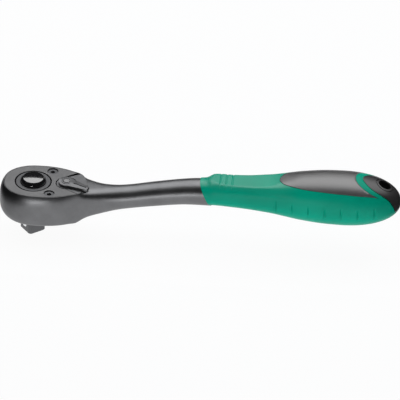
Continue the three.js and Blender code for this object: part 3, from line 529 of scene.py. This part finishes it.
# Drive gear: one piece of hardened steel with the hub that shows in the plate, the teeth, the
# journal and the driving square, whose face is bored for the detent ball.
square_turn = math.radians(37)
square_half = 0.00635
corner_radius = 0.0018
tip_chamfer = 0.0008
square_length = 0.0132
ball_level = 0.0058
ball_radius = 0.0025
gear_base = 0.0197
gear_top = 0.0332
hub_top = 0.0379
gear = turn_bar("drive_hub", [
    (0.0093, square_length), (0.0095, square_length + 0.0002), (0.0095, gear_base), (0.0138, gear_base),
    (0.0138, gear_top), (0.0115, gear_top), (0.0115, hub_top),
], 128)
teeth = 72
root_radius, tip_radius = 0.0141, 0.015
tooth_points = []
for i in range(teeth):
    middle = (i + 0.5) * 2 * math.pi / teeth
    root_half = 0.8 * math.pi / teeth
    for radius, angle in ((root_radius, -root_half), (tip_radius, 0), (root_radius, root_half)):
        tooth_points.append((radius * math.cos(middle + angle), radius * math.sin(middle + angle)))
carve(gear, raise_outline("gear_teeth", tooth_points, gear_base, gear_top), "UNION")
square_points = []
for corner in range(4):
    for i in range(7):
        angle = (corner + i / 6) * math.pi / 2
        side = (corner + 0.5) * math.pi / 2
        reach = math.sqrt(2) * (square_half - corner_radius)
        x = reach * math.cos(side) + corner_radius * math.cos(angle)
        y = reach * math.sin(side) + corner_radius * math.sin(angle)
        square_points.append((x * math.cos(square_turn) - y * math.sin(square_turn),
                              x * math.sin(square_turn) + y * math.cos(square_turn)))
square = raise_outline("square", square_points, tip_chamfer, square_length + 0.0025)
work_on(square)
bpy.ops.object.mode_set(mode="EDIT")
bpy.ops.mesh.select_mode(type="FACE")
bpy.ops.mesh.select_all(action="DESELECT")
for face in bmesh.from_edit_mesh(square.data).faces:
    face.select = face.normal.z < -0.9
bpy.ops.mesh.extrude_region_move(TRANSFORM_OT_translate={"value": (0, 0, -tip_chamfer)})
tip_share = 1 - tip_chamfer / square_half
bpy.ops.transform.resize(value=(tip_share, tip_share, 1), center_override=(0, 0, 0))
bpy.ops.object.mode_set(mode="OBJECT")
carve(gear, square, "UNION")
carve(gear, plain_bar("button_pocket", 0.0088, 0.0283, 0.05, 96))
carve(gear, plain_bar("spring_pocket", 0.0044, 0.0232, 0.05))
carve(gear, plain_bar("pin_bore", 0.0024, 0.0016, 0.05, 48))
carve(gear, plain_bar("ring_groove", 0.0097, 0.0328, 0.0342, 96))
ball_hole = plain_bar("ball_hole", 0.0027, 0, 0.02, 48)
work_on(ball_hole)
ball_turn = square_turn + math.pi
bpy.ops.object.mode_set(mode="EDIT")
bpy.ops.mesh.select_all(action="SELECT")
hole_mesh = bmesh.from_edit_mesh(ball_hole.data)
for vert in hole_mesh.verts:
    x, y, z = vert.co
    vert.co = (z * math.cos(ball_turn) - y * math.sin(ball_turn),
               z * math.sin(ball_turn) + y * math.cos(ball_turn), ball_level - x)
bpy.ops.mesh.normals_make_consistent(inside=False)
bpy.ops.object.mode_set(mode="OBJECT")
carve(gear, ball_hole)
break_edges(gear, 0.00015)
gear.data.materials.append(dark_steel)
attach(gear, "drive")
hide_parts("drive_gear")

# Quick release: a domed gloss-black button in the hub pushes a pin that lets the ball go in. The
# button is moulded, and a snap ring in the hub's groove keeps it.
dome_radius = 0.0068
dome_edge = hub_top + 0.00325
dome_rise = 0.00035
dome_steps = 16
crown = [(0.0085, hub_top + 0.0012), (0.00845, hub_top + 0.0014), (0.00835, hub_top + 0.0016),
         (0.0069, dome_edge - 0.00008)]
for i in range(dome_steps):
    share = 1 - i / dome_steps
    crown.append((dome_radius * share, dome_edge + dome_rise * (1 - share**2)))
skirt = [(0.0083, 0.0316), (0.0085, 0.0318), (0.0085, 0.0327), (0.0079, 0.0327), (0.0079, 0.0373),
         (0.0085, 0.0373)]
button = turn_bar("dome_button", skirt + crown, 96)
carve(button, plain_bar("pin_socket", 0.0023, 0.03, 0.0348, 48))
smooth(button)
black_gloss, shader, place = new_finish("black_gloss", IOR=2.6)
speck = place.noise(900.0, 2.0)
haze = place.noise(160.0, 3.0)
tone = speck.between(0.4, 0.7).blend((0.006, 0.006, 0.007, 1), (0.011, 0.011, 0.012, 1))
tone.into(shader.inputs["Base Color"])
(0.06 + 0.06 * haze).into(shader.inputs["Roughness"])
button.data.materials.append(black_gloss)
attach(button, "release")
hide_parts("release_button")

# Detent ball: a polished ball of bearing steel that stands out of the square's face and keeps a socket
# on it. It is one smooth sphere in a plain bore.
ball_reach = 0.0049
ball_place = (ball_reach * math.cos(ball_turn), ball_reach * math.sin(ball_turn), ball_level)
bpy.ops.object.select_all(action="DESELECT")
bpy.ops.mesh.primitive_ico_sphere_add(subdivisions=4, radius=ball_radius, location=ball_place)
ball = bpy.context.object
ball.name = "bearing_ball"
bpy.ops.object.transform_apply(location=True, rotation=True, scale=True)
bpy.ops.object.shade_smooth()
bright_steel = steel_finish("bright_steel", (0.72, 0.73, 0.74), (0.82, 0.83, 0.84), 0.14, 0.0003, 0.000003)
ball.data.materials.append(bright_steel)
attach(ball, "ball")
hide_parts("detent_ball")

# Reversing lever: a cast steel thumb lever with a roofed finger, a groove along the ridge and a round
# boss, pressed on the end of the spindle, which shows as a bright disc in the boss.
finger_base = 0.0383
finger_top = 0.04
lever_turn = math.radians(-26)
finger_root = 0.0053
finger_reach = 0.0159
tip_half = 0.0012
tip_round = 0.001
finger_points = []
for i in range(41):
    angle = math.radians(55 + (360 - 110) * i / 40)
    finger_points.append((finger_root * math.cos(angle), finger_root * math.sin(angle)))
for side in (-1, 1):
    for i in range(9):
        angle = (i / 8 - (1 if side < 0 else 0)) * math.pi / 2
        finger_points.append((finger_reach + tip_round * math.cos(angle),
                              side * tip_half + tip_round * math.sin(angle)))
lever = raise_outline("thumb_lever", finger_points, finger_base, finger_top)
roof_fall = 0.00045 / 0.0062
ridge = finger_top + 0.0005 * roof_fall
wedge_reach = 0.012
wedge_top = ridge + 0.002
for side in (-1, 1):
    wedge = raise_outline("roof_wedge", [
        (0, ridge), (side * wedge_reach, ridge - wedge_reach * roof_fall),
        (side * wedge_reach, wedge_top), (0, wedge_top),
    ], -0.01, 0.02)
    for vert in wedge.data.vertices:
        vert.co = (vert.co.z, vert.co.x, vert.co.y)
    carve(lever, wedge)
lever_base = 0.0349
boss_top = 0.0401
sink_floor = 0.0399
carve(lever, plain_bar("lever_neck", 0.005, lever_base, 0.0386), "UNION")
carve(lever, plain_bar("lever_hub", 0.0067, lever_base, hub_top, 96), "UNION")
carve(lever, plain_bar("lever_boss", 0.0035, lever_base, boss_top), "UNION")
carve(lever, plain_bar("stem_bore", 0.0023, 0.03, 0.05, 48))
carve(lever, plain_bar("boss_sink", 0.0029, sink_floor, 0.05))
groove_start, groove_end = 0.0054, 0.0154
groove_side = 0.0004
carve(lever, raise_outline("finger_groove", [
    (groove_start, -groove_side), (groove_end, -groove_side), (groove_end, groove_side),
    (groove_start, groove_side),
], finger_top - 0.0006, finger_top + 0.001))
seal_groove = plain_bar("groove_ring", 0.0072, 0.03565, 0.03715, 96)
carve(seal_groove, plain_bar("groove_core", 0.0058, 0.035, 0.038, 96))
carve(lever, seal_groove)
break_edges(lever, 0.00006)
spindle = turn_bar("lever_pivot", [
    (0.003, 0.0165), (0.003, 0.0335), (0.0079, 0.0335), (0.0079, 0.0347), (0.0021, 0.0347),
    (0.0021, sink_floor), (0.0019, boss_top),
], 64)
plunger_hole = plain_bar("plunger_hole", 0.00125, 0, 0.02, 32)
work_on(plunger_hole)
bpy.ops.object.mode_set(mode="EDIT")
for vert in bmesh.from_edit_mesh(plunger_hole.data).verts:
    x, y, z = vert.co
    vert.co = (0.0017 - z, y, 0.02605 + x)
bpy.ops.mesh.select_all(action="SELECT")
bpy.ops.mesh.normals_make_consistent(inside=False)
bpy.ops.object.mode_set(mode="OBJECT")
carve(spindle, plunger_hole)
smooth(spindle)
turned_steel = steel_finish("turned_steel", (0.26, 0.262, 0.266), (0.31, 0.312, 0.316), 0.42)
for piece, node, finish, slot in ((lever, "reversing_lever", satin_steel, "satin_steel"),
                                  (spindle, "lever_spindle", turned_steel, "bright_steel")):
    work_on(piece)
    piece.rotation_euler.z = lever_turn
    piece.location.x = pivot
    bpy.ops.object.transform_apply(location=True, rotation=True, scale=True)
    piece.data.materials.append(finish)
    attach(piece, "lever")
    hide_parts(node)

# Grip blank: the moulded handle swells to its tail, with a flat scooped thumb rest, three grooves
# across it and seven slits down each side. The shell, the inlay and the end cap are cut from it.
grip_widest = 0.208
tail_reach = 0.0391
hang_x = 0.236
grip_rows = [
    (0.108, 0.0094, 0, 0.0094, 0.0141, 0.0004), (0.116, 0.0094, 0.0002, 0.00902, 0.013, 0.0004),
    (0.1215, 0.01075, 0.0016, 0.00921, 0.0116, 0.0004), (0.134, 0.01105, 0.0014, 0.00959, 0.0107, 0.0004),
    (0.146, 0.0117, 0.00125, 0.0103, 0.0109, 0.0005), (0.155, 0.0126, 0.0013, 0.01126, 0.0117, 0.0005),
    (0.161, 0.01325, 0.0013, 0.01196, 0.01255, 0.0008), (0.168, 0.0144, 0.0013, 0.01303, 0.0146, 0.0018),
    (0.174, 0.01545, 0.0013, 0.01402, 0.0173, 0.0035), (0.180, 0.0164, 0.0013, 0.0149, 0.021, 0.004),
    (0.194, 0.0179, 0.0013, 0.01628, 0.03, 0.004), (0.208, 0.0184, 0.0013, 0.01671, 0.04, 0.004),
    (0.216, 0.0184, 0.0013, 0.01671, 0.04, 0.004),
]
grip_squareness = 2.2
tail_squareness = 2.15
groove_places = (0.126, 0.130, 0.134)
groove_depth = 0.0004
groove_half_width = 0.0008
slit_places = [0.1641 + 0.01108 * i for i in range(7)]
slit_depth = 0.0008
slit_half_width = 0.0009
slit_half_height = 0.0046
slit_level = -0.0008


def grip_section(x):
    """Radius, centre level and reach down of the grip at X, and the level and rounding of its rest."""
    radius, rise, down, rest, softness = along_rows(grip_rows, min(x, grip_widest))
    share = min(max(x - grip_widest, 0) / tail_reach, 1)
    left = (1 - share**tail_squareness) ** (1 / tail_squareness)
    return radius * left, top + rise, down * left, top + rest, softness


def bell(distance, half):
    """One in the middle of a groove, falling smoothly to nothing at its edge."""
    return 0.5 + 0.5 * math.cos(math.pi * min(abs(distance) / half, 1))


def grip_blank(name, shrink=0.0):
    """The whole grip as one solid, or one a little smaller all round."""
    blank = start_piece(name)
    places = [0.109 + 0.0015 * i for i in range(66)]
    places += [grip_widest + tail_reach * math.sin(math.radians(88.5 * i / 32)) for i in range(33)]
    dents = [(x, groove_half_width) for x in groove_places] + [(x, slit_half_width) for x in slit_places]
    for centre, half in dents:
        places = [x for x in places if abs(x - centre) > 1.3 * half]
        places += [centre + half * step / 4 for step in range(-5, 6)]
    for x in sorted(places):
        radius, centre, down, rest, softness = grip_section(x)
        section = (radius - shrink, centre, radius - shrink, down - shrink, grip_squareness, grip_squareness)
        lay_ring(x, section, 128, rest=rest - shrink, softness=softness)
        reach = min(radius, rest - centre)
        dip = max(groove_depth * bell(x - groove, groove_half_width) for groove in groove_places)
        slit = max(slit_depth * bell(x - place, slit_half_width) for place in slit_places)
        if dip == 0 and slit == 0:
            continue
        for vert in bmesh.from_edit_mesh(blank.data).verts:
            if vert.select:
                vert.co.z -= dip * min(max((vert.co.z - centre - 0.6 * reach) / (0.3 * reach), 0), 1)
                if abs(vert.co.y) > 0.5 * radius:
                    fade = bell(vert.co.z - centre - slit_level, slit_half_height) ** 0.5
                    vert.co.y -= math.copysign(slit * fade, vert.co.y)
    skin_rings()
    bpy.ops.object.mode_set(mode="OBJECT")
    return blank


def side_prism(name, points, half_width=0.04):
    """A prism across the handle of an outline in side view, as X and level."""
    piece = raise_outline(name, points, -half_width, half_width)
    for vert in piece.data.vertices:
        vert.co = (vert.co.x, -vert.co.z, vert.co.y)
    work_on(piece)
    bpy.ops.object.mode_set(mode="EDIT")
    bpy.ops.mesh.select_all(action="SELECT")
    bpy.ops.mesh.normals_make_consistent(inside=False)
    bpy.ops.object.mode_set(mode="OBJECT")
    return piece


def curve_through(points, steps):
    """Points on a smooth curve through the given ones."""
    rows = [(i, *point) for i, point in enumerate(points)]
    return [tuple(along_rows(rows, (len(points) - 1) * i / steps)) for i in range(steps + 1)]


def inlay_space(grow):
    """The room of the soft inlay: its plan outline, over a floor and in front of a slanting back."""
    front = 0.1657
    half = curve_through([
        (0, 0), (0.001, 0.0032), (0.0042, 0.0069), (0.0129, 0.0102), (0.0233, 0.0123), (0.0343, 0.0135),
        (0.0458, 0.014), (0.0553, 0.0136), (0.0656, 0.01185), (0.072, 0.01),
    ], 64)
    plan = [(front + along - grow, across + (grow if along > 0 else 0)) for along, across in half]
    room = raise_outline("inlay_room", [(x, -y) for x, y in plan[1:]] + plan[::-1], 0.04, 0.07)
    floor = 0.047 - grow
    roof = 0.066
    back = lambda level: 0.21563 + grow + 1.97 * (0.0577 - level)
    side = [(0.1, floor), (back(floor), floor), (back(roof), roof), (0.1, roof)]
    carve(room, side_prism("inlay_side", side), "INTERSECT")
    return room


def cap_space(shift):
    """The room of the end cap, behind its curved joint."""
    joint = curve_through([(0.2184, 0.0203), (0.2194, 0.0191), (0.2232, 0.01775), (0.22845, 0.0151),
                           (0.2341, 0.012), (0.23951, 0.00782), (0.24225, 0.00326), (0.2435, -0.00081),
                           (0.2444, -0.005), (0.24491, -0.009)], 64)
    side = [(x + shift, top + rise + shift) for x, rise in joint]
    return side_prism("cap_room", side + [(0.3, side[-1][1]), (0.3, side[0][1])])


# Handle shell: the hard green half of the two-component moulding, moulded round the tang with a
# fine spark texture. Its top is rubbed to a gloss by the thumb, and its sides are duller.
shell = grip_blank("green_shell")
front = lambda level: grip_front + 0.0002 + end_slant * (0.0474 - level)
carve(shell, side_prism("front_face", [(0.05, 0), (front(0), 0), (front(0.08), 0.08), (0.05, 0.08)]))
carve(shell, inlay_space(0.0003))
carve(shell, cap_space(0))
sleeve_room = 0.0055
carve(shell, plain_bar("sleeve_bore", sleeve_room, 0, 0.1, 64, (hang_x, 0)))
tang_bore = plain_bar("tang_bore", 0.0062, 0, 0.2052)
for vert in tang_bore.data.vertices:
    vert.co = (vert.co.z, vert.co.y, tang_level - vert.co.x)
carve(shell, tang_bore)
smooth(shell)
green_plastic, shader, place = new_finish("green_plastic", Specular_IOR_Level=0.1, Coat_Roughness=0.36)
spark = place.noise(3200.0, 2.0, 0.6)
flow = place.noise(45.0, 3.0)
tone = flow.between(0.3, 0.7).blend((0.0, 0.365, 0.235, 1), (0.0, 0.41, 0.265, 1))
tone.into(shader.inputs["Base Color"])
(0.30 + 0.08 * spark + 0.06 * flow).into(shader.inputs["Roughness"])
spark.bump(0.4, 0.00002).into(shader.inputs["Normal"])
level_of = shader.id_data.nodes.new("ShaderNodeSeparateXYZ")
place.into(level_of.inputs[0])
rubbed = Value(shader.id_data, level_of.outputs["Z"]).between(0.0452, 0.0474)
behind_thumb = Value(shader.id_data, level_of.outputs["X"]).between(0.165, 0.182)
(rubbed * (1 - behind_thumb)).into(shader.inputs["Coat Weight"])
shell.data.materials.append(green_plastic)
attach(shell, "handle")
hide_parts("handle_shell")

# Soft inlay: the palm pad of dark grey rubber, the soft half of the moulding. It is the top of the grip
# blank inside the inlay's room, and it fills a pocket of the shell.
inlay = grip_blank("palm_inlay")
carve(inlay, inlay_space(0), "INTERSECT")
carve(inlay, plain_bar("sleeve_bore", sleeve_room, 0, 0.1, 64, (hang_x, 0)))
smooth(inlay)
grey_rubber, shader, place = new_finish("grey_rubber", IOR=2.3)
matt = place.noise(2400.0, 3.0, 0.7)
bloom = place.noise(60.0, 4.0)
tone = bloom.between(0.3, 0.7).blend((0.036, 0.035, 0.036, 1), (0.047, 0.0455, 0.047, 1))
tone.into(shader.inputs["Base Color"])
(0.34 + 0.1 * matt + 0.06 * bloom).into(shader.inputs["Roughness"])
matt.bump(0.5, 0.00003).into(shader.inputs["Normal"])
inlay.data.materials.append(grey_rubber)
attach(inlay, "handle")
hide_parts("grip_inlay")

# End cap: a dark satin moulding over the tail, with a sleeve through the grip for hanging the tool
# up. A fine groove runs round the mouth of the sleeve.
cap = grip_blank("tail_cap")
cap_room = cap_space(0.0003)
carve(cap_room, plain_bar("hang_sleeve", 0.0053, 0, 0.1, 64, (hang_x, 0)), "UNION")
carve(cap, cap_room, "INTERSECT")
rim_groove = plain_bar("rim_groove", 0.00575, 0.04, 0.1, 64, (hang_x, 0))
carve(rim_groove, plain_bar("groove_core", 0.00525, 0.03, 0.11, 64, (hang_x, 0)))
carve(rim_groove, grip_blank("groove_floor", 0.0009))
carve(cap, rim_groove)
carve(cap, plain_bar("hang_hole", 0.0041, 0, 0.1, 64, (hang_x, 0)))
smooth(cap)
cap_plastic, shader, place = new_finish("cap_plastic", IOR=1.65)
spark = place.noise(2800.0, 2.0, 0.6)
flow = place.noise(70.0, 3.0)
tone = flow.between(0.3, 0.7).blend((0.028, 0.0275, 0.028, 1), (0.036, 0.0355, 0.036, 1))
tone.into(shader.inputs["Base Color"])
(0.28 + 0.1 * spark + 0.06 * flow).into(shader.inputs["Roughness"])
spark.bump(0.4, 0.00002).into(shader.inputs["Normal"])
cap.data.materials.append(cap_plastic)
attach(cap, "handle")
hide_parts("end_cap")

# Inside works: washer, seals, pin, springs, snap ring, plunger and pawl, hidden in the head. Each
# keeps its turned or wound form and takes the finish of its own metal or rubber.
spring_steel = steel_finish("spring_steel", (0.45, 0.46, 0.48), (0.55, 0.56, 0.58), 0.3)
seal_rubber, shader, place = new_finish("seal_rubber")
matt = place.noise(2600.0, 3.0)
tone = matt.between(0.3, 0.7).blend((0.009, 0.009, 0.009, 1), (0.016, 0.016, 0.016, 1))
tone.into(shader.inputs["Base Color"])
(0.6 + 0.2 * matt).into(shader.inputs["Roughness"])
inside_finishes = {
    "thrust_washer": bright_steel, "drive_seal_ring": seal_rubber, "hub_seal_ring": seal_rubber,
    "release_pin": bright_steel, "release_spring": spring_steel, "button_snap_ring": spring_steel,
    "lever_seal_ring": seal_rubber, "pawl_plunger": bright_steel, "plunger_spring": spring_steel,
    "pawl": dark_steel,
}
for node, finish in inside_finishes.items():
    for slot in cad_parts[node].material_slots:
        slot.material = finish
